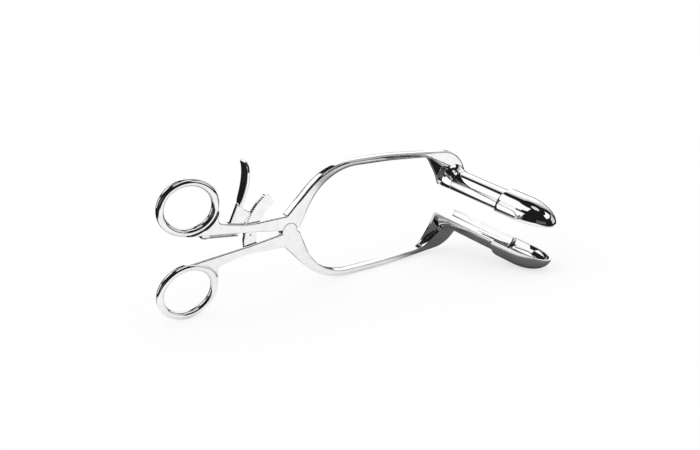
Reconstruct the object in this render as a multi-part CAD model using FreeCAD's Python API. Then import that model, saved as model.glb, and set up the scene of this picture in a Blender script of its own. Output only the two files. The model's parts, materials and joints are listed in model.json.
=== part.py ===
import FreeCAD, Part
import os
from math import atan2, cos, degrees, radians, sin, tan

# Self-retaining two-bladed speculum, in millimetres.
# Design frame: pivot at the origin, +X towards the blades, +Z the way the upper lever
# spreads, and both blades point along -Y. Each lever is drawn as in the closed
# instrument, then turned about the pivot by half of the resting opening. At the end the
# whole instrument is leaned over until its lower ring, bow and blade stand on Z = 0.

# Opening and ratchet clicks
TOOTH_ANGLE = 2.4           # one click, degrees about the pivot
CLICKS_OPEN = 4             # clicks from closed to the resting pose
HALF_OPENING = TOOTH_ANGLE * CLICKS_OPEN / 2

# Lever bar
LEVER_DEPTH = 5.2           # bar size along Y
EDGE_ROUND = 0.9            # rounding of the bar's long edges
SYMMETRY_GAP = 0.15         # each blade rim stays this far from the closing plane
MOVING_GAP = 0.3            # free space between parts that pass each other

# Pivot
BOSS_R = 4.9
PIN_R = 2.0
PIN_FIT = 0.03              # running clearance of a pin, on the radius
LAP_GAP = 0.06              # free space between the two lapped discs

# Finger ring, an oval of round rod
RING_X = -63.4
RING_Z = 30.5
RING_A = 17.0               # long half axis of the rod's centre line
RING_B = 14.5               # short half axis
RING_TILT = -13.9           # degrees
RING_ROD_R = 2.15
SKIRT_ANGLE = -88.0         # side of the oval where the shank's inner edge runs out
GUSSET_ANGLE = 8.0          # side where the web between ring and heel starts
RING_WEB_T = 1.4            # thickness of that web inside the ring's outer edge

# Shank between ring and pivot
SHANK_ROOT_Z = 1.4          # inner edge beside the pivot
SHANK_MID_X = -27.0
SHANK_MID_Z = 6.4           # inner edge at that place
SHANK_W = 5.3
SHANK_ROUND = 60.0          # the shank's slow bend
HEEL_X = -46.2              # corner between shank and ring
HEEL_Z = 17.3
HEEL_ROUND = 2.0
NECK_X = -1.5               # outer corner between shank and bow
NECK_Z = 10.0
NECK_ROUND = 3.0

# Bow between pivot and blade; its corners are given before they are rounded
BOW_W = 3.8                 # bar size along the straight
CREST_X = 28.5              # outer corner over the rising part
CREST_Z = 35.4
CREST_ROUND = 45.0
ARCH_X = 24.8               # inner corner under it
ARCH_Z = 32.6
ARCH_ROUND = 37.0
BEND_X = 74.0               # slow bend halfway along the straight
BEND_Z = 31.5
BEND_ROUND = 300.0

# Blade, a half tube with a waist and a bullet nose
BLADE_X = 127.9
BLADE_R = 9.5
BLADE_WALL = 1.3
WAIST_Y = 51.3              # from the middle of the bar to the step of the nose
STEP_LEN = 2.2
NOSE_STEP = 1.9             # the nose stands this far out from the tube
NOSE_END_Y = 91.0
NOSE_LEN = 23.5             # length of the nose's rounded end

# Shoulder that carries the blade
COLLAR = 0.6                # steel left round the blade's seat at its rims
SHOULDER_Z = 20.2           # outer corner over the blade, before rounding
SHOULDER_ROUND = 23.0
WEB_TOP_REACH = 11.1        # from the blade's seat to the corner between web and bow
WEB_TOP_Z = 22.4
WEB_TOP_ROUND = 10.0
WEB_FOOT_REACH = 3.2        # from the seat to where the web turns to the rim
WEB_FOOT_Z = 8.0
WEB_FOOT_ROUND = 30.0
WEB_T = 1.6                 # thin edge of the web on the bow's side
SCOOP_R = 30.0              # hollow ground into the front of the web
FLARE_RISE = 4.1            # height of the flare above the blade, beside the bar
FLARE_LEN = 7.0             # how far the flare runs out along the blade
FLARE_LIP = 0.2             # thickness where it ends

# Ratchet rack, set in the lower shank
RACK_R_OUT = 30.2
RACK_W = 8.0
RACK_T = 2.2
TOOTH_H = 0.75
RACK_TIP_ANGLE = 119.4      # degrees from +X towards +Z, resting pose
RACK_ROOT_ANGLE = 197.0
FIRST_TOOTH_ANGLE = 127.3
TEETH_COUNT = 22
RACK_OUTER_ROUND = 3.4
RACK_INNER_ROUND = 1.5
RACK_HOLE_R = 0.65
RACK_HOLE_ANGLE = 175.7
RIVET_R = 0.8
RIVET_ANGLE = 192.8

# Thumb pawl, hinged in the upper shank, resting pose
PAWL_OUT = 3.25             # its pin lies this far outside the rack
PAWL_ANGLE = 167.0          # degrees about the pivot, like the rack's
PAWL_BOSS_R = 2.4
PAWL_PIN_R = 0.9
PAWL_HEEL_L = 7.2           # the plate reaches this far behind the pin
PAWL_LIFT = 5.7             # degrees from engaged to clear of the teeth
SLOT_FROM_ANGLE = 140.0     # the rack's passage through the shank, seen from the pivot
SLOT_TO_ANGLE = 179.0
NOSE_TOOTH = 9              # the tooth gap in front of the nose, from the rack's tip
FLANK_GAP = 0.3             # free space at the nose's steep face when engaged
POINT_GAP = 0.32            # the nose's point stays this far above the root of its tooth gap
THUMB_H = 39.6              # top of the thumb piece above the pin
THUMB_W = 6.8
THUMB_T = 1.8

# Leaf spring under the upper shank, resting pose
SPRING_X = -55.3            # its screw
SPRING_END = 2.4            # length beyond the screw
SPRING_T = 0.6
SPRING_W = 3.6
SPRING_TIP_X = -34.6
SPRING_PLAY = 0.12          # free space above and below the spring at its screw
PAD_H = 1.1                 # height of the pad that the spring is screwed to
SCREW_R = 0.9
SCREW_HOLE_GAP = 0.3
SCREW_LEN = 4.0
SCREW_HEAD_R = 1.7
SCREW_HEAD_H = 0.9

V = FreeCAD.Vector
Y_AXIS = V(0, 1, 0)
ORIGIN = V(0, 0, 0)
HALF_DEPTH = LEVER_DEPTH / 2
HALF_RACK = RACK_T / 2
RACK_R_IN = RACK_R_OUT - RACK_W
PAWL_X = (RACK_R_OUT + PAWL_OUT) * cos(radians(PAWL_ANGLE))
PAWL_Z = (RACK_R_OUT + PAWL_OUT) * sin(radians(PAWL_ANGLE))
NOSE_R = BLADE_R + NOSE_STEP
SEAT_NEAR = BLADE_X - BLADE_R
SEAT_FAR = BLADE_X + BLADE_R
SLOT_HALF = HALF_RACK + MOVING_GAP
BEYOND = 2 * LEVER_DEPTH    # cutters reach this far along Y
RING_END_R = 0.9 * RING_B    # the oval's two tighter arcs; its two flatter ones follow
RING_SIDE_R = ((RING_A ** 2 + RING_B ** 2 - 2 * RING_A * RING_END_R)
               / (2 * (RING_B - RING_END_R)))
RING_MEET = degrees(atan2(RING_SIDE_R - RING_B, RING_A - RING_END_R))
RING_PLACE = FreeCAD.Placement(V(RING_X, 0, RING_Z), FreeCAD.Rotation(Y_AXIS, -RING_TILT))


def at(x, z, y=0.0):
    """A point given in the plane of the handles."""
    return V(x, y, z)


def polar(radius, angle):
    """A point given by its radius and angle about the pivot."""
    return at(radius * cos(radians(angle)), radius * sin(radians(angle)))


def turned(shape, angle):
    """A copy turned about the pivot; a positive angle lifts its +X side."""
    copy = shape.copy()
    copy.rotate(ORIGIN, Y_AXIS, -angle)
    return copy


def spun(point, angle, centre=ORIGIN):
    """A point turned the same way about a centre."""
    return centre + FreeCAD.Rotation(Y_AXIS, -angle).multVec(point - centre)


def mirrored(shape):
    """The same piece on the lower lever."""
    return shape.mirror(ORIGIN, V(0, 0, 1))


def curve(points):
    """A smooth edge through the points."""
    spline = Part.BSplineCurve()
    spline.interpolate(points)
    return spline.toShape()


def prism(edges, y_from, y_to):
    """A plate from edges drawn in the plane of the handles."""
    wire = Part.Wire(Part.__sortEdges__(edges))
    wire.translate(V(0, y_from, 0))
    return Part.Face(wire).extrude(V(0, y_to - y_from, 0))


def polygon(points, y_from, y_to):
    """A plate with straight edges."""
    ends = points[1:] + points[:1]
    return prism([Part.makeLine(a, b) for a, b in zip(points, ends)], y_from, y_to)


def rod(centre, radius, y_from, y_to):
    """A cylinder along Y."""
    return Part.makeCylinder(radius, y_to - y_from, V(centre.x, y_from, centre.z), Y_AXIS)


def upright_edge(shape, x, z):
    """The edge along Y that passes nearest to a point of the plane."""
    def distance(edge):
        middle = edge.CenterOfMass
        return abs(middle.x - x) + abs(middle.z - z)
    uprights = [edge for edge in shape.Edges if edge.BoundBox.YLength > 1.0]
    return min(uprights, key=distance)


def ring_arc(angle):
    """Centre and radius of the oval's arc that faces this way, in the ring's own axes."""
    if abs(sin(radians(angle))) < sin(radians(RING_MEET)):
        side = 1 if cos(radians(angle)) > 0 else -1
        return at(side * (RING_A - RING_END_R), 0), RING_END_R
    side = 1 if sin(radians(angle)) > 0 else -1
    return at(0, side * (RING_B - RING_SIDE_R)), RING_SIDE_R


def ring_point(angle, offset=0.0):
    """A point of the rod's centre line on the side facing angle, moved outwards by offset."""
    centre, radius = ring_arc(angle)
    return RING_PLACE.multVec(centre + polar(radius + offset, angle))


def ring_span(quarter):
    """Directions between which one of the oval's four arcs runs."""
    middle = 90 * quarter
    half = RING_MEET if quarter % 2 == 0 else 90 - RING_MEET
    return middle - half, middle + half


def finger_ring():
    """An oval ring of round rod, four torus pieces that meet smoothly."""
    pieces_of_ring = []
    for quarter in range(4):
        start, end = ring_span(quarter)
        centre, radius = ring_arc((start + end) / 2)
        section = Part.Wire([Part.makeCircle(RING_ROD_R, centre + polar(radius, start),
                                             polar(1.0, start + 90))])
        pieces_of_ring.append(Part.Face(section).revolve(centre, -Y_AXIS, end - start))
    ring = pieces_of_ring[0].fuse(pieces_of_ring[1:]).removeSplitter()
    return ring.transformed(RING_PLACE.toMatrix())


def ring_room():
    """Space in front of and behind the web, so that the rod stands clear of the bar."""
    arcs = []
    for quarter in range(4):
        start, end = ring_span(quarter)
        on_arc = [ring_point(angle, RING_ROD_R) for angle in (start, (start + end) / 2, end)]
        arcs.append(Part.Arc(*on_arc).toShape())
    front = prism(arcs, -BEYOND, -RING_WEB_T / 2)
    return [front, front.mirror(ORIGIN, Y_AXIS)]


def rounded_loop(corners):
    """Edges of a closed outline; each corner is a point with its rounding."""
    joints = []
    for k, (corner, rounding) in enumerate(corners):
        back = (corners[k - 1][0] - corner).normalize()
        ahead = (corners[(k + 1) % len(corners)][0] - corner).normalize()
        half = back.getAngle(ahead) / 2
        run = rounding / tan(half)
        middle = corner + (back + ahead).normalize() * (rounding / sin(half) - rounding)
        joints.append((corner + back * run, middle, corner + ahead * run, rounding))
    edges = []
    for k, (start, middle, end, rounding) in enumerate(joints):
        edges.append(Part.makeLine(joints[k - 1][2], start))
        if rounding > 0:
            edges.append(Part.Arc(start, middle, end).toShape())
    return edges


def lever_outline():
    """Corners of one closed lever: along its outer side to the rim, and back inside."""
    inner_bend = at(BEND_X, BEND_Z - BOW_W)
    return [(ring_point(0), 0),
            (ring_point(GUSSET_ANGLE, 0.8 * RING_ROD_R), 0),
            (at(HEEL_X, HEEL_Z), HEEL_ROUND),
            (at(SHANK_MID_X - BOSS_R / 2, SHANK_MID_Z + SHANK_W), SHANK_ROUND),
            (at(NECK_X, NECK_Z), NECK_ROUND),
            (at(CREST_X, CREST_Z), CREST_ROUND),
            (at(BEND_X, BEND_Z), BEND_ROUND),
            (at(SEAT_FAR + COLLAR, SHOULDER_Z), SHOULDER_ROUND),
            (at(SEAT_FAR + COLLAR, SYMMETRY_GAP), 0),
            (at(SEAT_NEAR - COLLAR, SYMMETRY_GAP), 0),
            (at(SEAT_NEAR - WEB_FOOT_REACH, WEB_FOOT_Z), WEB_FOOT_ROUND),
            (at(SEAT_NEAR - WEB_TOP_REACH, WEB_TOP_Z), WEB_TOP_ROUND),
            (inner_bend, BEND_ROUND),
            (at(ARCH_X, ARCH_Z), ARCH_ROUND),
            (at(BOSS_R + 8 * MOVING_GAP, 4 * MOVING_GAP), 0),
            (at(BOSS_R + MOVING_GAP, SYMMETRY_GAP), 0),
            (at(-BOSS_R - MOVING_GAP, SHANK_ROOT_Z), 0),
            (at(SHANK_MID_X, SHANK_MID_Z), SHANK_ROUND),
            (ring_point(SKIRT_ANGLE, RING_ROD_R), 0),
            (ring_point(SKIRT_ANGLE), 0),
            (ring_point(SKIRT_ANGLE / 2, -RING_ROD_R / 2), 0)]


def lever_bar():
    """The forged bar with its long edges rounded."""
    bar = prism(rounded_loop(lever_outline()), -HALF_DEPTH, HALF_DEPTH)
    on_chains = [at(CREST_X, CREST_Z), at(ARCH_X, ARCH_Z), at(SHANK_MID_X / 2, SHANK_ROOT_Z)]
    long_edges = []
    for point in on_chains:
        for y in (-HALF_DEPTH, HALF_DEPTH):
            spot = Part.Vertex(V(point.x, y, point.z))
            level = [edge for edge in bar.Edges if edge.BoundBox.YLength < 0.001]
            long_edges.append(min(level, key=lambda edge: edge.distToShape(spot)[0]))
    return bar.makeFillet(EDGE_ROUND, long_edges)


def web_scoop():
    """The hollow that thins the front of the web on the bow's side."""
    corner = at(SEAT_NEAR, SYMMETRY_GAP)
    top = at(SEAT_NEAR - WEB_TOP_REACH, WEB_TOP_Z)
    along = (top - corner).normalize()
    start = corner - along * BLADE_R
    start.y = HALF_DEPTH - WEB_T - SCOOP_R
    hollow = Part.makeCylinder(SCOOP_R, 5 * BLADE_R, start, along)
    shoulder = at(BLADE_X - BLADE_R / 2, BLADE_R + COLLAR)
    low = at(SEAT_NEAR - WEB_TOP_REACH, -BLADE_R)
    keep = polygon([top, shoulder, at(shoulder.x, low.z), low], -BEYOND, BEYOND)
    return hollow.common(keep)


def shoulder_flare():
    """The forged shoulder where it thins out along the blade."""
    sections = []
    for share in (0.0, 0.5, 1.0):
        thickness = (FLARE_RISE - FLARE_LIP) * (1 - share) ** 2 + FLARE_LIP
        half_width = BLADE_R + FLARE_LIP / 2 + (COLLAR - FLARE_LIP) * (1 - share)
        y = -HALF_DEPTH + EDGE_ROUND - (FLARE_LEN + EDGE_ROUND) * share
        centre = V(BLADE_X, y, 0)
        oval = Part.Ellipse(centre + at(0, BLADE_R + thickness), centre + at(half_width, 0),
                            centre)
        sections.append(Part.Wire([oval.toShape()]))
    whole = Part.makeLoft(sections, True, False)
    return whole.common(above_closing_plane())


def lap_joint(body, front_disc):
    """Halves the lever's thickness round the pivot, so that two levers lap."""
    if front_disc:
        disc = rod(ORIGIN, BOSS_R, -HALF_DEPTH, -LAP_GAP / 2)
        room = rod(ORIGIN, BOSS_R + MOVING_GAP, -LAP_GAP / 2, BEYOND)
    else:
        disc = rod(ORIGIN, BOSS_R, LAP_GAP / 2, HALF_DEPTH)
        room = rod(ORIGIN, BOSS_R + MOVING_GAP, -BEYOND, LAP_GAP / 2)
    return body.fuse(disc).cut(room)


def closed_lever(front_disc):
    """One lever of the closed instrument, upper side."""
    body = lever_bar().cut([web_scoop()] + ring_room())
    body = body.fuse([finger_ring(), shoulder_flare()])
    seat = rod(at(BLADE_X, 0), BLADE_R, -BEYOND - FLARE_LEN, BEYOND)
    body = body.cut(seat)
    return lap_joint(body, front_disc)


def above_closing_plane():
    """The space that the upper half of the blade may fill."""
    return Part.makeBox(4 * NOSE_R, 2 * NOSE_END_Y, 2 * NOSE_R,
                        V(BLADE_X - 2 * NOSE_R, -1.5 * NOSE_END_Y, SYMMETRY_GAP))


def blade_edges(wall):
    """Half of the blade's section along its axis, moved inwards by a wall."""
    def spot(y, radius):
        return V(BLADE_X + radius, -y, 0)
    tube_r = BLADE_R - wall
    full = NOSE_R - wall
    waist = WAIST_Y + wall
    step_end = waist + STEP_LEN
    nose_start = NOSE_END_Y - NOSE_LEN
    centre = V(BLADE_X, -nose_start, 0)
    oval = Part.Ellipse(V(BLADE_X, -NOSE_END_Y + wall, 0), centre + V(full, 0, 0), centre)
    nose = min((Part.Arc(oval, start, start + radians(90)).toShape() for start in
                (0, radians(90), radians(180), radians(270))),
               key=lambda edge: (edge.CenterOfMass - spot(NOSE_END_Y, full)).Length)
    return [Part.makeLine(spot(-HALF_DEPTH, tube_r), spot(waist, tube_r)),
            Part.Arc(spot(waist, tube_r),
                     spot(waist + STEP_LEN * 0.35, tube_r + (full - tube_r) * 0.6),
                     spot(step_end, full)).toShape(),
            Part.makeLine(spot(step_end, full), spot(nose_start, full)),
            nose]


def closed_blade():
    """A half tube, open at the lever and closed by a bullet nose, upper side."""
    mouth = Part.makeLine(V(BLADE_X + BLADE_R, HALF_DEPTH, 0),
                          V(BLADE_X + BLADE_R - BLADE_WALL, HALF_DEPTH, 0))
    tip = Part.makeLine(V(BLADE_X, -NOSE_END_Y, 0), V(BLADE_X, -NOSE_END_Y + BLADE_WALL, 0))
    wire = Part.Wire(Part.__sortEdges__(blade_edges(0.0) + blade_edges(BLADE_WALL) + [mouth, tip]))
    tube = Part.Face(wire).revolve(V(BLADE_X, 0, 0), Y_AXIS, 360)
    return tube.common(above_closing_plane())


def sector(radius_in, radius_out, angle_from, angle_to, half_t):
    """A flat piece of a ring about the pivot."""
    middle = (angle_from + angle_to) / 2
    inner = Part.Arc(polar(radius_in, angle_from), polar(radius_in, middle),
                     polar(radius_in, angle_to)).toShape()
    outer = Part.Arc(polar(radius_out, angle_from), polar(radius_out, middle),
                     polar(radius_out, angle_to)).toShape()
    ends = [Part.makeLine(polar(radius_in, angle), polar(radius_out, angle))
            for angle in (angle_from, angle_to)]
    return prism([inner, outer] + ends, -half_t, half_t)


def gap_angle(index):
    """Angle of the steep flank of one tooth gap, counted from the rack's tip."""
    return FIRST_TOOTH_ANGLE + index * TOOTH_ANGLE


def tooth_gaps():
    """What is cut from the rack's outer edge: each gap is steep on the tip's side."""
    gaps = []
    for index in range(TEETH_COUNT):
        start = gap_angle(index)
        gaps.append(polygon([polar(RACK_R_OUT - TOOTH_H, start),
                             polar(RACK_R_OUT + TOOTH_H, start),
                             polar(RACK_R_OUT + TOOTH_H, start + 0.92 * TOOTH_ANGLE),
                             polar(RACK_R_OUT, start + 0.92 * TOOTH_ANGLE)],
                            -BEYOND, BEYOND))
    return gaps


def rivet_places():
    """Centres of the two rivets that hold the rack."""
    span = RACK_R_OUT - RACK_R_IN
    return [polar(RACK_R_IN + span * share, RIVET_ANGLE) for share in (0.27, 0.73)]


def rack():
    """The toothed arc, with its two holes for rivets and one drilled hole."""
    plate = sector(RACK_R_IN, RACK_R_OUT, RACK_TIP_ANGLE, RACK_ROOT_ANGLE, HALF_RACK)
    for radius, rounding in ((RACK_R_OUT, RACK_OUTER_ROUND), (RACK_R_IN, RACK_INNER_ROUND)):
        corner = polar(radius, RACK_TIP_ANGLE)
        plate = plate.makeFillet(rounding, [upright_edge(plate, corner.x, corner.z)])
    hole = polar((RACK_R_IN + RACK_R_OUT) / 2, RACK_HOLE_ANGLE)
    holes = [rod(hole, RACK_HOLE_R, -BEYOND, BEYOND)]
    holes += [rod(place, RIVET_R, -BEYOND, BEYOND) for place in rivet_places()]
    return plate.cut(tooth_gaps() + holes)


def rivets():
    """Two flush rivets across the lower shank."""
    return Part.makeCompound([rod(place, RIVET_R, -HALF_DEPTH, HALF_DEPTH)
                              for place in rivet_places()])


def lower_lever():
    """The lever that carries the rack and the pivot pin."""
    body = turned(mirrored(closed_lever(True)), -HALF_OPENING)
    cutters = [sector(RACK_R_IN, RACK_R_OUT, 180.0, RACK_ROOT_ANGLE, HALF_RACK)]
    cutters += [rod(place, RIVET_R, -BEYOND, BEYOND) for place in rivet_places()]
    cutters.append(rod(ORIGIN, PIN_R, -BEYOND, BEYOND))
    return body.cut(cutters)


def shank_line():
    """Two points of the upper shank's inner edge, resting pose."""
    return (spun(at(SHANK_MID_X, SHANK_MID_Z), HALF_OPENING),
            spun(ring_point(SKIRT_ANGLE, RING_ROD_R), HALF_OPENING))


def shank_normal():
    """Direction square to the upper shank's inner edge, pointing into the shank."""
    near, far = shank_line()
    run = near - far
    return V(-run.z, 0, run.x).normalize()


def under_shank(x, drop=0.0):
    """A point that lies drop below the upper shank's inner edge."""
    near, far = shank_line()
    on_edge = near + (far - near) * ((x - near.x) / (far.x - near.x))
    return on_edge - shank_normal() * drop


def strip_below_shank(x_from, x_to, drop_from, drop_to, width):
    """A flat strip that follows the shank's inner edge."""
    return polygon([under_shank(x_from, drop_from), under_shank(x_to, drop_from),
                    under_shank(x_to, drop_to), under_shank(x_from, drop_to)],
                   -width / 2, width / 2)


def screw():
    """The spring's screw: a low domed head and a plain shank."""
    up = shank_normal()
    head_top = under_shank(SPRING_X, PAD_H + SPRING_T + 2 * SPRING_PLAY)
    dome_r = (SCREW_HEAD_R ** 2 + SCREW_HEAD_H ** 2) / (2 * SCREW_HEAD_H)
    ball = Part.makeSphere(dome_r, head_top + up * (dome_r - SCREW_HEAD_H))
    head = ball.common(Part.makeCylinder(SCREW_HEAD_R, SCREW_HEAD_H,
                                         head_top - up * SCREW_HEAD_H, up))
    reach = PAD_H + SPRING_T + 2 * SPRING_PLAY + SCREW_LEN
    return head.fuse(Part.makeCylinder(SCREW_R, reach, head_top, up))


def screw_bore(extra):
    """A round hole for the screw, wider by extra on the radius."""
    up = shank_normal()
    start = under_shank(SPRING_X, 3 * PAD_H)
    top = under_shank(SPRING_X, -SCREW_LEN)
    return Part.makeCylinder(SCREW_R + extra, (top - start).Length, start, up)


def leaf_spring():
    """A flat spring strip with a hole for its screw."""
    top = PAD_H + SPRING_PLAY
    strip = strip_below_shank(SPRING_X - SPRING_END, SPRING_TIP_X, top, top + SPRING_T, SPRING_W)
    return strip.cut(screw_bore(SCREW_HOLE_GAP))


def pawl_slot():
    """The slot through the upper shank for the rack and the pawl."""
    left = PAWL_X - PAWL_HEEL_L - 4 * MOVING_GAP
    pocket = polygon([at(left, 0), at(-RACK_R_OUT, 0), at(-RACK_R_OUT, 3 * PAWL_Z),
                      at(left, 3 * PAWL_Z)], -SLOT_HALF, SLOT_HALF)
    passage = sector(RACK_R_IN - MOVING_GAP, RACK_R_OUT + PAWL_BOSS_R, SLOT_FROM_ANGLE,
                     SLOT_TO_ANGLE, SLOT_HALF)
    return pocket.fuse(passage)


def upper_lever():
    """The lever that carries the pawl and its spring."""
    body = turned(closed_lever(False), HALF_OPENING)
    pad = strip_below_shank(SPRING_X - SPRING_END, SPRING_X + SPRING_END, -1.5, PAD_H,
                            SPRING_W)
    body = body.fuse(pad)
    return body.cut([pawl_slot(), screw_bore(0.0),
                     rod(at(PAWL_X, PAWL_Z), PAWL_PIN_R, -BEYOND, BEYOND),
                     rod(ORIGIN, PIN_R + PIN_FIT, -BEYOND, BEYOND)])


def lifted(point):
    """Where a point of the engaged pawl lies in the resting pose."""
    return spun(point, PAWL_LIFT, at(PAWL_X, PAWL_Z))


def pawl_plate():
    """The thin lower part of the pawl, from its heel to its nose."""
    flank = gap_angle(NOSE_TOOTH) + FLANK_GAP / radians(RACK_R_OUT)
    point = lifted(polar(RACK_R_OUT - TOOTH_H + POINT_GAP, flank))
    steep = lifted(polar(RACK_R_OUT + 0.8 * TOOTH_H, flank))
    slope = lifted(polar(RACK_R_OUT + TOOTH_H / 2, flank + 0.95 * TOOTH_ANGLE))
    heel_z = under_shank(PAWL_X - 1.5 * PAWL_BOSS_R, PAD_H).z + MOVING_GAP
    boss = PAWL_BOSS_R
    return polygon([point, steep,
                    at(PAWL_X + 0.8 * boss, PAWL_Z + 0.27 * THUMB_H),
                    at(PAWL_X + 0.1 * boss, PAWL_Z + 0.32 * THUMB_H),
                    at(PAWL_X, PAWL_Z + 0.37 * THUMB_H),
                    at(PAWL_X - boss, PAWL_Z + 0.37 * THUMB_H),
                    at(PAWL_X - PAWL_HEEL_L, PAWL_Z + 1.1 * boss),
                    at(PAWL_X - PAWL_HEEL_L + 0.5 * boss, heel_z + 0.8 * boss),
                    at(PAWL_X - 1.8 * boss, heel_z),
                    at(PAWL_X - boss, heel_z + 0.1 * boss),
                    at(PAWL_X + 0.2 * boss, PAWL_Z - boss),
                    at(PAWL_X + boss, PAWL_Z - 0.4 * boss),
                    at(PAWL_X + boss, PAWL_Z + 1.3 * boss),
                    slope], -HALF_RACK, HALF_RACK)


def thumb_piece():
    """The broad curved plate that the thumb pushes; its top curls back."""
    line = Part.BSplineCurve()
    line.interpolate([at(PAWL_X + across * PAWL_BOSS_R, PAWL_Z + up * THUMB_H)
                      for across, up in ((-0.45, 0.32), (0.08, 0.44), (0.75, 0.59),
                                         (1.1, 0.74), (1.1, 0.86), (0.85, 0.95), (0.45, 1.0))])
    ribbon_edges = []
    for side in (-1, 1):
        edge = []
        for share in (0.0, 0.2, 0.4, 0.6, 0.8, 1.0):
            u = line.FirstParameter + share * (line.LastParameter - line.FirstParameter)
            along = line.tangent(u)[0]
            half_t = THUMB_T / 2 * (1 - 0.25 * share)
            edge.append(line.value(u) + V(-along.z, 0, along.x) * side * half_t)
        ribbon_edges.append(edge)
    left, right = ribbon_edges
    ends = [Part.makeLine(left[k], right[k]) for k in (0, -1)]
    ribbon = prism([curve(left), curve(right)] + ends, -THUMB_W, THUMB_W)
    outline = [(HALF_RACK, 0.29), (HALF_RACK + MOVING_GAP, 0.33), (0.42 * THUMB_W, 0.42),
               (0.5 * THUMB_W, 0.6), (0.54 * THUMB_W, 0.84), (0.5 * THUMB_W, 0.95),
               (0.3 * THUMB_W, 1.03)]
    front = [V(PAWL_X - THUMB_H, half_w, PAWL_Z + up * THUMB_H) for half_w, up in outline]
    front += [V(corner.x, -corner.y, corner.z) for corner in reversed(front)]
    face = Part.Face(Part.makePolygon(front + front[:1]))
    return ribbon.common(face.extrude(V(2 * THUMB_H, 0, 0)))


def thumb_pawl():
    """Release lever and pawl, forged in one piece."""
    body = pawl_plate().fuse(thumb_piece())
    return body.cut(rod(at(PAWL_X, PAWL_Z), PAWL_PIN_R + PIN_FIT, -BEYOND, BEYOND)).removeSplitter()


def standing_normal(feet):
    """Upward direction of the plane on which three groups of points stand."""
    up = V(0, 0, 1)
    for _ in range(12):
        a, b, c = [min(points, key=lambda p: p.dot(up)) for points in feet]
        up = (b - a).cross(c - a).normalize()
        if up.z < 0:
            up = -up
    return up


pieces = {
    "lower_lever": lower_lever(),
    "upper_lever": upper_lever(),
    "lower_blade": turned(mirrored(closed_blade()), -HALF_OPENING),
    "upper_blade": turned(closed_blade(), HALF_OPENING),
    "pivot_pin": rod(ORIGIN, PIN_R, -HALF_DEPTH, HALF_DEPTH),
    "ratchet_rack": rack(),
    "rack_rivets": rivets(),
    "thumb_pawl": thumb_pawl(),
    "pawl_pin": rod(at(PAWL_X, PAWL_Z), PAWL_PIN_R, -HALF_DEPTH, HALF_DEPTH),
    "leaf_spring": leaf_spring(),
    "spring_screw": screw(),
}

mesh_step = 0.02
lever_points = pieces["lower_lever"].tessellate(mesh_step)[0]
blade_points = pieces["lower_blade"].tessellate(mesh_step)[0]
ring_foot = [p for p in lever_points if p.x < HEEL_X]
bow_foot = [p for p in lever_points if p.x > 0]
nose_foot = [p for p in blade_points if p.y < -WAIST_Y]
lean = FreeCAD.Rotation(standing_normal([ring_foot, bow_foot, nose_foot]), V(0, 0, 1))
corners = FreeCAD.BoundBox()
for piece in pieces.values():
    for point in piece.tessellate(mesh_step)[0]:
        corners.add(lean.multVec(point))
base = V(corners.Center.x, corners.Center.y, corners.ZMin)
STANCE = FreeCAD.Placement(-base, lean)

os.makedirs("parts", exist_ok=True)
for name, piece in pieces.items():
    piece.Placement = STANCE.multiply(piece.Placement)
    piece.exportStep("parts/" + name + ".step")
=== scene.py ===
import bmesh
import bpy
import json
from math import acos, asin, atan2, cos, pi, radians, sin
from mathutils import Matrix, Vector


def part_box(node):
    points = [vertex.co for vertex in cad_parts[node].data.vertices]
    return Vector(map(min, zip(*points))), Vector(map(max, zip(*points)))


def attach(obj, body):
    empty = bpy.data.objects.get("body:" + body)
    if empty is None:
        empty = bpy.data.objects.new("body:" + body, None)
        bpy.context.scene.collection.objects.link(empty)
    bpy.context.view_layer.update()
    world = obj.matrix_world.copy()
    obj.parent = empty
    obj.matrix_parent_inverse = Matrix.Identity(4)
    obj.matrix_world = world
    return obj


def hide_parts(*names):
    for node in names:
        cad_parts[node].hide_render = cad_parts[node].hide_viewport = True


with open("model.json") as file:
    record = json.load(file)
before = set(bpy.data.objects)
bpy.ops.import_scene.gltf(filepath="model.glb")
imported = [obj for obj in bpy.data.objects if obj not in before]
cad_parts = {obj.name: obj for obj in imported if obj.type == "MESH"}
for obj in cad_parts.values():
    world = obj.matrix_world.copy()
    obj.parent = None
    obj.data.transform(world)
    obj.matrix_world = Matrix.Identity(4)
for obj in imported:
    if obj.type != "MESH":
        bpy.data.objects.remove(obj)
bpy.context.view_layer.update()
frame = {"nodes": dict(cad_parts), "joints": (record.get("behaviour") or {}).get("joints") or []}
scene = bpy.context.scene

# Table: a sheet of white paper that runs on to the horizon and takes only faint contact
# shadows. For mirrored rays alone it also has edges, a painted shade beside the lower blade
# and painted darkening towards its far side, fitted to what the steel shows in the photograph.


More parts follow.
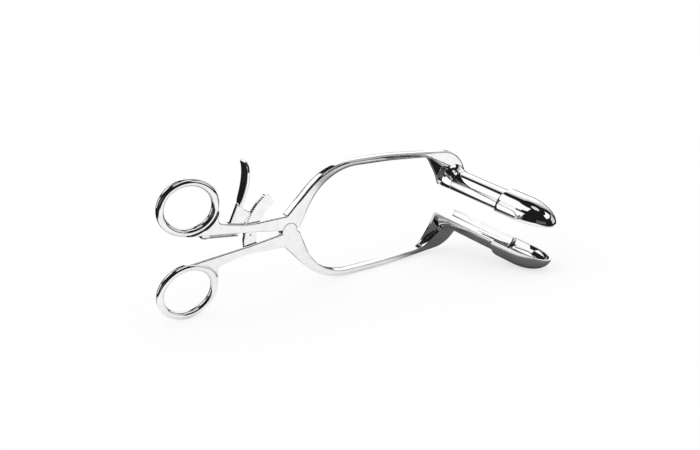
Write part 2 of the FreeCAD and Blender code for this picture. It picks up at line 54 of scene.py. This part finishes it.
class Socket:
    """One value in a shader graph, so that arithmetic on it adds nodes."""

    def __init__(self, tree, link):
        self.tree = tree
        self.link = link

    def node(self, kind, inputs, output=0, **settings):
        """Adds a node of any kind and returns one of its outputs."""
        made = self.tree.nodes.new(kind)
        for name, value in settings.items():
            setattr(made, name, value)
        for place, value in inputs.items():
            if isinstance(value, Socket):
                self.tree.links.new(value.link, made.inputs[place])
            else:
                made.inputs[place].default_value = value
        return Socket(self.tree, made.outputs[output])

    def math(self, operation, first, second=0.0):
        return self.node("ShaderNodeMath", {0: first, 1: second}, operation=operation)

    def __add__(self, other):
        return self.math("ADD", self, other)

    def __radd__(self, other):
        return self.math("ADD", other, self)

    def __sub__(self, other):
        return self.math("SUBTRACT", self, other)

    def __rsub__(self, other):
        return self.math("SUBTRACT", other, self)

    def __mul__(self, other):
        return self.math("MULTIPLY", self, other)

    def __rmul__(self, other):
        return self.math("MULTIPLY", other, self)

    def parts(self):
        """The three numbers of a vector."""
        split = self.node("ShaderNodeSeparateXYZ", {0: self})
        return [Socket(self.tree, out) for out in split.link.node.outputs]

    def ramp(self, low, high):
        """0 below low, 1 above high, smooth in between; low may be the larger."""
        return self.node("ShaderNodeMapRange", {0: self, 1: low, 2: high, 3: 0.0, 4: 1.0},
                         interpolation_type="SMOOTHSTEP")

    def into(self, shader, place):
        """Joins this value to a shader's socket."""
        self.tree.links.new(self.link, shader.inputs[place])


def first_socket(tree, kind, output):
    """An output of a new node that has no inputs."""
    return Socket(tree, tree.nodes.new(kind).outputs[output])


sheet_half = 6.0
sheet_edge = 0.05               # mirrored edges of the sheet are this soft
front_edge = -0.11              # row frame, metres
left_edge = -0.19
right_edge = 0.218
shade_half = 0.024              # shade on both sides of the lower blade
paper_glow = 0.7                # share of light that comes through the sheet from below
dusk_from = 0.05                # row frame, metres behind the instrument
dusk_to = 0.1
dark_from = 0.12
dark_to = 0.18
# strengths of the painted shade beside the blade and of the painted darkening behind
shade_depth = 0.84
dusk_depth = 0.7
darkest = 0.015
paper_mesh = bpy.data.meshes.new("floor")
paper_mesh.from_pydata([(-sheet_half, -sheet_half, 0), (sheet_half, -sheet_half, 0),
                        (sheet_half, sheet_half, 0), (-sheet_half, sheet_half, 0)],
                       [], [(0, 1, 2, 3)])
paper = bpy.data.objects.new("floor", paper_mesh)
scene.collection.objects.link(paper)
paper_paint = bpy.data.materials.new("pale_paper")
paper_paint.use_nodes = True
tree = paper_paint.node_tree
paper_shader = tree.nodes["Principled BSDF"]
paper_shader.inputs["Roughness"].default_value = 0.9
paper_shader.inputs["Specular IOR Level"].default_value = 0.0
on_paper = first_socket(tree, "ShaderNodeTexCoord", "Object")
paper_x, paper_y, _ = on_paper.parts()
blade_low, blade_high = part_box("lower_blade")
blade_x = (blade_low[0] + blade_high[0]) / 2
white = (paper_y.ramp(front_edge - sheet_edge / 2, front_edge + sheet_edge / 2)
         * paper_x.ramp(left_edge - sheet_edge / 2, left_edge + sheet_edge / 2)
         * paper_x.ramp(right_edge + sheet_edge / 2, right_edge - sheet_edge / 2))
# Painted shade: for mirrored rays the paper's colour is made darker beside the lower blade and
# further behind the instrument, in place of shadow and falling light.
beside_blade = (paper_x - blade_x).math("ABSOLUTE", paper_x - blade_x)
painted_blade_shade = (beside_blade.ramp(2 * shade_half, shade_half)
         * paper_y.ramp(blade_low[1] - 2 * shade_half, blade_low[1]))
painted_dusk_shade = paper_y.ramp(dusk_from, dusk_to)
painted_far_shade = paper_y.ramp(dark_from, dark_to)
tone = white * (1 - painted_blade_shade * shade_depth) * (1 - painted_dusk_shade * dusk_depth) * (1 - painted_far_shade) + darkest
mirrored_paper = first_socket(tree, "ShaderNodeLightPath", "Is Glossy Ray")
paper_tone = tone.node("ShaderNodeMix", {0: mirrored_paper, 2: 1.0, 3: tone})
paper_tone.into(paper_shader, "Base Color")
glow = tree.nodes.new("ShaderNodeEmission")
paper_tone.into(glow, "Color")
both = tree.nodes.new("ShaderNodeMixShader")
(paper_glow * (1 - mirrored_paper)).into(both, 0)
tree.links.new(paper_shader.outputs[0], both.inputs[1])
tree.links.new(glow.outputs[0], both.inputs[2])
tree.links.new(both.outputs[0], tree.nodes["Material Output"].inputs["Surface"])
paper_mesh.materials.append(paper_paint)

# Light tent: even white light from all sides, and plain white for the camera. Mirrored
# rays alone see the bright panels and the dark gaps between them below; their places
# were fitted to the photograph's view and aren't a studio that was measured.
world = bpy.data.worlds.new("light_tent")
scene.world = world
world.use_nodes = True
tree = world.node_tree
background = tree.nodes["Background"]
dir_x, dir_y, dir_z = first_socket(tree, "ShaderNodeTexCoord", "Generated").parts()
azimuth = dir_x.math("ARCTAN2", dir_x, dir_y)
height = dir_z.math("ARCSINE", dir_z)
cloth_edge = radians(3)
gap_level = 0.012               # light in the gaps between the panels
full_white = 1.15               # a panel that clips to white


def panel(az_from, az_to, el_from, el_to, level, left_slant=0.0, low_slant=0.0, top_slant=0.0):
    """White cloth seen in the steel, in degrees from +Y towards +X and upwards.

    left_slant moves the left edge by so much per degree of height; the other two tilt
    the lower and the upper edge along the azimuth.
    """
    left = azimuth - height * left_slant
    low = height - azimuth * low_slant
    top = height - azimuth * top_slant
    across = (left.ramp(radians(az_from), radians(az_from) + cloth_edge)
              * azimuth.ramp(radians(az_to), radians(az_to) - cloth_edge))
    upright = (low.ramp(radians(el_from), radians(el_from) + cloth_edge)
               * top.ramp(radians(el_to), radians(el_to) - cloth_edge))
    return across * upright * level


far_left = panel(-67, -45, -17, 33, full_white, left_slant=-0.3)
over_far_left = panel(-53, -44, 30, 43, 1.0)
far_top = panel(-64, 4, 38, 61, full_white, top_slant=-0.16)
left_top = panel(-79, -61, 22, 72, full_white, low_slant=-0.35)
to_the_end = azimuth.ramp(radians(54), radians(84))
upwards = height.ramp(radians(40), radians(54))
right_wall = (panel(9, 86, 8, 61, 1.0, left_slant=0.34) * (full_white - to_the_end * 0.6)
              * (1 - upwards * 0.4))
near_right = panel(98, 148, -17, 35, 0.7)
near_top = panel(113, 184, 42, 64, full_white)
near_top_over_seam = panel(-184, -168, 42, 64, full_white)
near_left = panel(-150, -104, -30, 20, 0.1)
far_wall = panel(-9, 9, 4, 20, 0.3)
ceiling = panel(-190, 190, 80, 97, 0.8)
cloth = [far_left, over_far_left, far_top, left_top, right_wall, near_right, near_top,
         near_top_over_seam, near_left, far_wall, ceiling]
seen = cloth[0]
for stretch in cloth[1:]:
    seen = seen.math("MAXIMUM", seen, stretch)
seen = seen + gap_level
mirrored_tent = first_socket(tree, "ShaderNodeLightPath", "Is Glossy Ray")
seen.node("ShaderNodeMix", {0: mirrored_tent, 2: 1.0, 3: seen}).into(background, "Strength")
background.inputs["Color"].default_value = (1, 1, 1, 1)

# Levers: two forged bars of stainless steel with round finger rings, ground and then
# polished by hand on a wheel. The polish leaves soft waves and hairlines and rounds every
# edge but those of the pin holes, most on the bows.


weld_gap = 1e-6
hairs_along = 60                # per metre, along the polish
hairs_across = 2600
clouds = 210.0
ring_end_x = -0.076             # row frame; the rods of the rings lie beyond
ring_blend = 0.006
bow_from_x = -0.0235
bow_full_x = -0.0185
bow_fade_x = 0.07
bow_to_x = 0.085
bow_extra = 5.5                 # how much rounder the bow's edges are polished


def polished(name, colour, roughness, rounding, waves, wave_size, hairlines, grain_turn,
             keep_sharp=()):
    """Steel polished along a direction, with rounded edges, soft waves and hairlines."""
    steel = bpy.data.materials.new(name)
    steel.use_nodes = True
    tree = steel.node_tree
    shader = tree.nodes["Principled BSDF"]
    shader.inputs["Metallic"].default_value = 1.0
    place = first_socket(tree, "ShaderNodeTexCoord", "Object")
    turned = place.node("ShaderNodeMapping", {"Vector": place, "Rotation": grain_turn})
    stretched = place.node("ShaderNodeVectorMath", {0: turned, 1: (hairs_along, hairs_across,
                                                               hairs_across)},
                           operation="MULTIPLY")
    hair = place.node("ShaderNodeTexNoise", {"Vector": stretched, "Scale": 1.0, "Detail": 3.0})
    cloud = place.node("ShaderNodeTexNoise", {"Vector": place, "Scale": clouds, "Detail": 4.0})
    wave = place.node("ShaderNodeTexNoise", {"Vector": place, "Scale": 1 / wave_size,
                                             "Detail": 1.0})
    radius = rounding
    if keep_sharp:
        along_row = place.parts()[0]
        bow = along_row.ramp(bow_from_x, bow_full_x) * along_row.ramp(bow_to_x, bow_fade_x)
        off_ring = along_row.ramp(ring_end_x, ring_end_x + ring_blend)
        radius = off_ring * (1 + bow * bow_extra) * rounding
        for centre, reach in keep_sharp:
            offset = place.node("ShaderNodeVectorMath", {0: place, 1: centre},
                                operation="SUBTRACT")
            off_axis = place.node("ShaderNodeVectorMath", {0: offset, 1: hinge_axis},
                                  operation="CROSS_PRODUCT")
            length = place.node("ShaderNodeVectorMath", {0: off_axis}, output=1,
                                operation="LENGTH")
            radius = length.ramp(reach, reach + 2 * rounding) * radius
    edge = tree.nodes.new("ShaderNodeBevel")
    edge.samples = 12
    if isinstance(radius, Socket):
        radius.into(edge, "Radius")
    else:
        edge.inputs["Radius"].default_value = radius
    bump = place.node("ShaderNodeBump", {"Strength": 1.0, "Distance": waves, "Height": wave,
                                         "Normal": Socket(tree, edge.outputs[0])})
    fine = place.node("ShaderNodeBump", {"Strength": 1.0, "Distance": hairlines, "Height": hair,
                                         "Normal": bump})
    fine.into(shader, "Normal")
    (roughness + (hair.ramp(0.45, 0.8) * 0.5 + cloud.ramp(0.5, 0.75)) * roughness).into(
        shader, "Roughness")
    dull = cloud.ramp(0.35, 0.75)
    tint = place.node("ShaderNodeMix", {0: dull, 6: colour,
                                        7: tuple(0.93 * c for c in colour[:3]) + (1,)},
                      output=2, data_type="RGBA")
    tint.into(shader, "Base Color")
    return steel


def dress(name, steel):
    """Gives a CAD piece its finish, smooth over curves and sharp at real edges."""
    node = frame["nodes"][name]
    weld = node.modifiers.new("weld", "WELD")
    weld.merge_threshold = weld_gap
    smooth = node.modifiers.new("smooth", "NODES")
    smooth.node_group = smooth_faces
    weights = node.modifiers.new("weights", "WEIGHTED_NORMAL")
    weights.keep_sharp = True
    for slot in node.material_slots:
        slot.material = steel


smooth_faces = bpy.data.node_groups.new("smooth_faces", "GeometryNodeTree")
smooth_faces.interface.new_socket("Geometry", in_out="INPUT", socket_type="NodeSocketGeometry")
smooth_faces.interface.new_socket("Geometry", in_out="OUTPUT", socket_type="NodeSocketGeometry")
start = smooth_faces.nodes.new("NodeGroupInput")
end = smooth_faces.nodes.new("NodeGroupOutput")
faces = smooth_faces.nodes.new("GeometryNodeSetShadeSmooth")
edges = smooth_faces.nodes.new("GeometryNodeSetShadeSmooth")
edges.domain = "EDGE"
edges.inputs[2].default_value = False
angle = smooth_faces.nodes.new("GeometryNodeInputMeshEdgeAngle")
limit = smooth_faces.nodes.new("FunctionNodeCompare")
limit.operation = "GREATER_THAN"
limit.inputs[1].default_value = radians(30)
smooth_faces.links.new(start.outputs[0], faces.inputs[0])
smooth_faces.links.new(faces.outputs[0], edges.inputs[0])
smooth_faces.links.new(angle.outputs[0], limit.inputs[0])
smooth_faces.links.new(limit.outputs[0], edges.inputs[1])
smooth_faces.links.new(edges.outputs[0], end.inputs[0])

hinge_axis = tuple(frame["joints"][0]["axis"])


def middle(name):
    """The centre of a CAD piece."""
    low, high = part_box(name)
    return tuple((Vector(low) + Vector(high)) / 2)


pin_holes = [(middle("pivot_pin"), 0.0023), (middle("pawl_pin"), 0.0012),
             (middle("rack_rivets"), 0.0034)]
bright = (0.93, 0.93, 0.935, 1)
lever_steel = polished("hand_polished_steel", bright, 0.035, 0.0003, 0.000012, 0.007, 0.0000004,
                       (0, 0, 0), pin_holes)
dress("lower_lever", lever_steel)
dress("upper_lever", lever_steel)

ring_x = -0.0634                # from the pivot, closed instrument
ring_z = 0.0305
ring_a = 0.017                  # half axes of the rod's centre line
ring_b = 0.0145
ring_tilt = radians(-13.9)
rod_r = 0.00216                 # a hundredth of a millimetre over the solid's rod
end_r = 0.9 * ring_b            # the oval's tighter arcs, then its flatter ones
side_r = (ring_a ** 2 + ring_b ** 2 - 2 * ring_a * end_r) / (2 * (ring_b - end_r))
meet = atan2(side_r - ring_b, ring_a - end_r)
sharp_from = radians(35)        # edges bent more than this stay sharp on turned pieces
half_opening = radians(4.8)
pawl_angle = radians(167)       # of the pawl's pin about the pivot, from the long axis
pivot = Vector(frame["joints"][0]["pos_m"])
side = -Vector(hinge_axis)
to_pawl = (Vector(frame["joints"][1]["pos_m"]) - pivot).normalized()
square = to_pawl.cross(side)
along = to_pawl * cos(pawl_angle) - square * sin(pawl_angle)
spread = to_pawl * sin(pawl_angle) + square * cos(pawl_angle)


def in_place(x, y, z, way):
    """A point of the upper lever's side, way 1, or the lower one's, way -1, as it rests."""
    lean = half_opening * way
    return (pivot + side * y + along * (x * cos(lean) - z * way * sin(lean))
            + spread * (x * sin(lean) + z * way * cos(lean)))


def finished(mesh, name, body, steel):
    """The object of a turned mesh, smooth over its curves, on its body."""
    bmesh.ops.recalc_face_normals(mesh, faces=mesh.faces)
    for face in mesh.faces:
        face.smooth = True
    for edge in mesh.edges:
        edge.smooth = edge.calc_face_angle(0) < sharp_from
    data = bpy.data.meshes.new(name)
    mesh.to_mesh(data)
    mesh.free()
    data.materials.append(steel)
    piece = bpy.data.objects.new(name, data)
    scene.collection.objects.link(piece)
    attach(piece, body)
    return piece


def ring_line(steps=48):
    """Centre-line points of the oval and the directions in which they face."""
    line = []
    for quarter in range(4):
        half = meet if quarter % 2 == 0 else pi / 2 - meet
        radius = end_r if quarter % 2 == 0 else side_r
        from_middle = (ring_a if quarter % 2 == 0 else ring_b) - radius
        faced = quarter * pi / 2
        for k in range(steps):
            turn = faced - half + 2 * half * k / steps
            line.append((from_middle * cos(faced) + radius * cos(turn),
                         from_middle * sin(faced) + radius * sin(turn), turn))
    return line


def ring(name, body, way, round_steps=64):
    """The finger ring's round rod, finely turned so that it mirrors cleanly."""
    mesh = bmesh.new()
    rows = []
    for x, z, turn in ring_line():
        row = []
        for k in range(round_steps):
            about = 2 * pi * k / round_steps
            out = rod_r * cos(about)
            flat_x = x + out * cos(turn)
            flat_z = z + out * sin(turn)
            row.append(mesh.verts.new(in_place(
                ring_x + flat_x * cos(ring_tilt) - flat_z * sin(ring_tilt), rod_r * sin(about),
                ring_z + flat_x * sin(ring_tilt) + flat_z * cos(ring_tilt), way)))
        rows.append(row)
    for near, far in zip(rows, rows[1:] + rows[:1]):
        for k in range(round_steps):
            mesh.faces.new((near[k], near[k - 1], far[k - 1], far[k]))
    finished(mesh, name, body, lever_steel)


ring("polished_upper_ring", "upper", 1)
ring("polished_lower_ring", "lower", -1)

# Blades: half tubes turned from bar, milled open and mirror polished inside and out, a
# little finer than the levers; their rims are only broken with a stone.
blade_steel = polished("mirror_polished_steel", bright, 0.03, 0.0003, 0.000002, 0.009, 0.0000003,
                       (0, 0, radians(90)))
blade_axis_x = 0.1279           # from the pivot, closed instrument
blade_r = 0.0095
blade_wall = 0.0013
half_depth = 0.0026             # half of the lever's depth, where the tube ends
waist_y = 0.0513
step_len = 0.0022
nose_r = 0.0114
nose_y = 0.091
nose_len = 0.0235
rim_gap = 0.00015               # from the rim to the closing plane


def blade_line(wall, tube_steps=24, step_steps=8, nose_steps=40):
    """Distance from the bar and radius along the blade, from its mouth to its tip."""
    tube = blade_r - wall
    full = nose_r - wall
    waist = waist_y + wall
    line = [(-half_depth + (waist + half_depth) * k / tube_steps, tube)
            for k in range(tube_steps)]
    rise = full - tube
    for k in range(step_steps):
        turn = radians(90) * k / step_steps
        line.append((waist + step_len * (1 - cos(turn)), tube + rise * sin(turn)))
    nose_from = nose_y - nose_len
    line += [(waist + step_len + (nose_from - waist - step_len) * k / step_steps, full)
             for k in range(step_steps)]
    tip_turn = acos(rim_gap / full)
    for k in range(nose_steps + 1):
        turn = tip_turn * k / nose_steps
        line.append((nose_from + (nose_len - wall) * sin(turn), full * cos(turn)))
    return line


def blade(name, body, way, turns=90):
    """A half tube with waist and bullet nose; way is 1 for the upper one, -1 for the lower."""
    mesh = bmesh.new()
    skins = []
    for wall in (0.0, blade_wall):
        rows = []
        for y, radius in blade_line(wall):
            low = asin(min(1.0, rim_gap / radius))
            row = []
            for k in range(turns + 1):
                angle = low + (pi - 2 * low) * k / turns
                row.append(mesh.verts.new(in_place(blade_axis_x + radius * cos(angle), -y,
                                                   radius * sin(angle), way)))
            rows.append(row)
        skins.append(rows)
        for near, far in zip(rows, rows[1:]):
            for k in range(turns):
                mesh.faces.new((near[k], near[k + 1], far[k + 1], far[k]))
    outer, inner = skins
    for k in range(turns):
        mesh.faces.new((outer[0][k], outer[0][k + 1], inner[0][k + 1], inner[0][k]))
    for edge in (0, turns):
        for k in range(len(outer) - 1):
            mesh.faces.new((outer[k][edge], outer[k + 1][edge], inner[k + 1][edge],
                            inner[k][edge]))
    bmesh.ops.remove_doubles(mesh, verts=mesh.verts, dist=weld_gap)
    piece = finished(mesh, name, body, blade_steel)
    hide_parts(body + "_blade")


blade("polished_upper_blade", "upper", 1)
blade("polished_lower_blade", "lower", -1)

# Pivot, pawl pin and rivets: round pins peened over and ground flush with the levers,
# so that only a hairline shows round them.
pin_steel = polished("ground_pin_steel", bright, 0.05, 0.00005, 0.000003, 0.003, 0.0000005,
                     (0, 0, 0))
for name in ("pivot_pin", "pawl_pin", "rack_rivets"):
    dress(name, pin_steel)

# Rack: a flat arc of hardened steel with ratchet teeth milled in its outer edge, ground
# on its sides and left a little duller than the levers.
rack_steel = polished("ground_rack_steel", bright, 0.09, 0.0001, 0.000002, 0.004, 0.0000008,
                      (0, radians(40), 0))
dress("ratchet_rack", rack_steel)

# Thumb lever and pawl: one forging, polished like the levers; the thumb's face was
# hammered to its curve and keeps long waves.
thumb_steel = polished("polished_thumb_steel", bright, 0.04, 0.0005, 0.00005, 0.005, 0.0000005,
                       (0, radians(90), 0))
dress("thumb_pawl", thumb_steel)

# Leaf spring and its screw: a tempered strip brushed along its length, and a small
# domed screw that holds it under the upper shank.
spring_steel = polished("tempered_spring_steel", (0.3, 0.3, 0.31, 1), 0.12, 0.0001, 0.000002,
                        0.004, 0.000001, (0, 0, 0))
dress("leaf_spring", spring_steel)
dress("spring_screw", pin_steel)

# Camera, where the photograph was taken from.
focal_px = 1010.9
image_w = 700
eye = Vector((-0.3302, -0.4539, 0.1785))
right = Vector((0.8046, -0.5891, -0.0748))
down = Vector((-0.1974, -0.1464, -0.9693))
lens = bpy.data.cameras.new("camera")
lens.sensor_width = 36.0
lens.lens = lens.sensor_width * focal_px / image_w
camera = bpy.data.objects.new("camera", lens)
scene.collection.objects.link(camera)
scene.camera = camera
back = right.cross(-down)
camera.matrix_world = Matrix.Translation(eye) @ Matrix((right, -down, back)).transposed().to_4x4()
scene.view_settings.view_transform = "Standard"
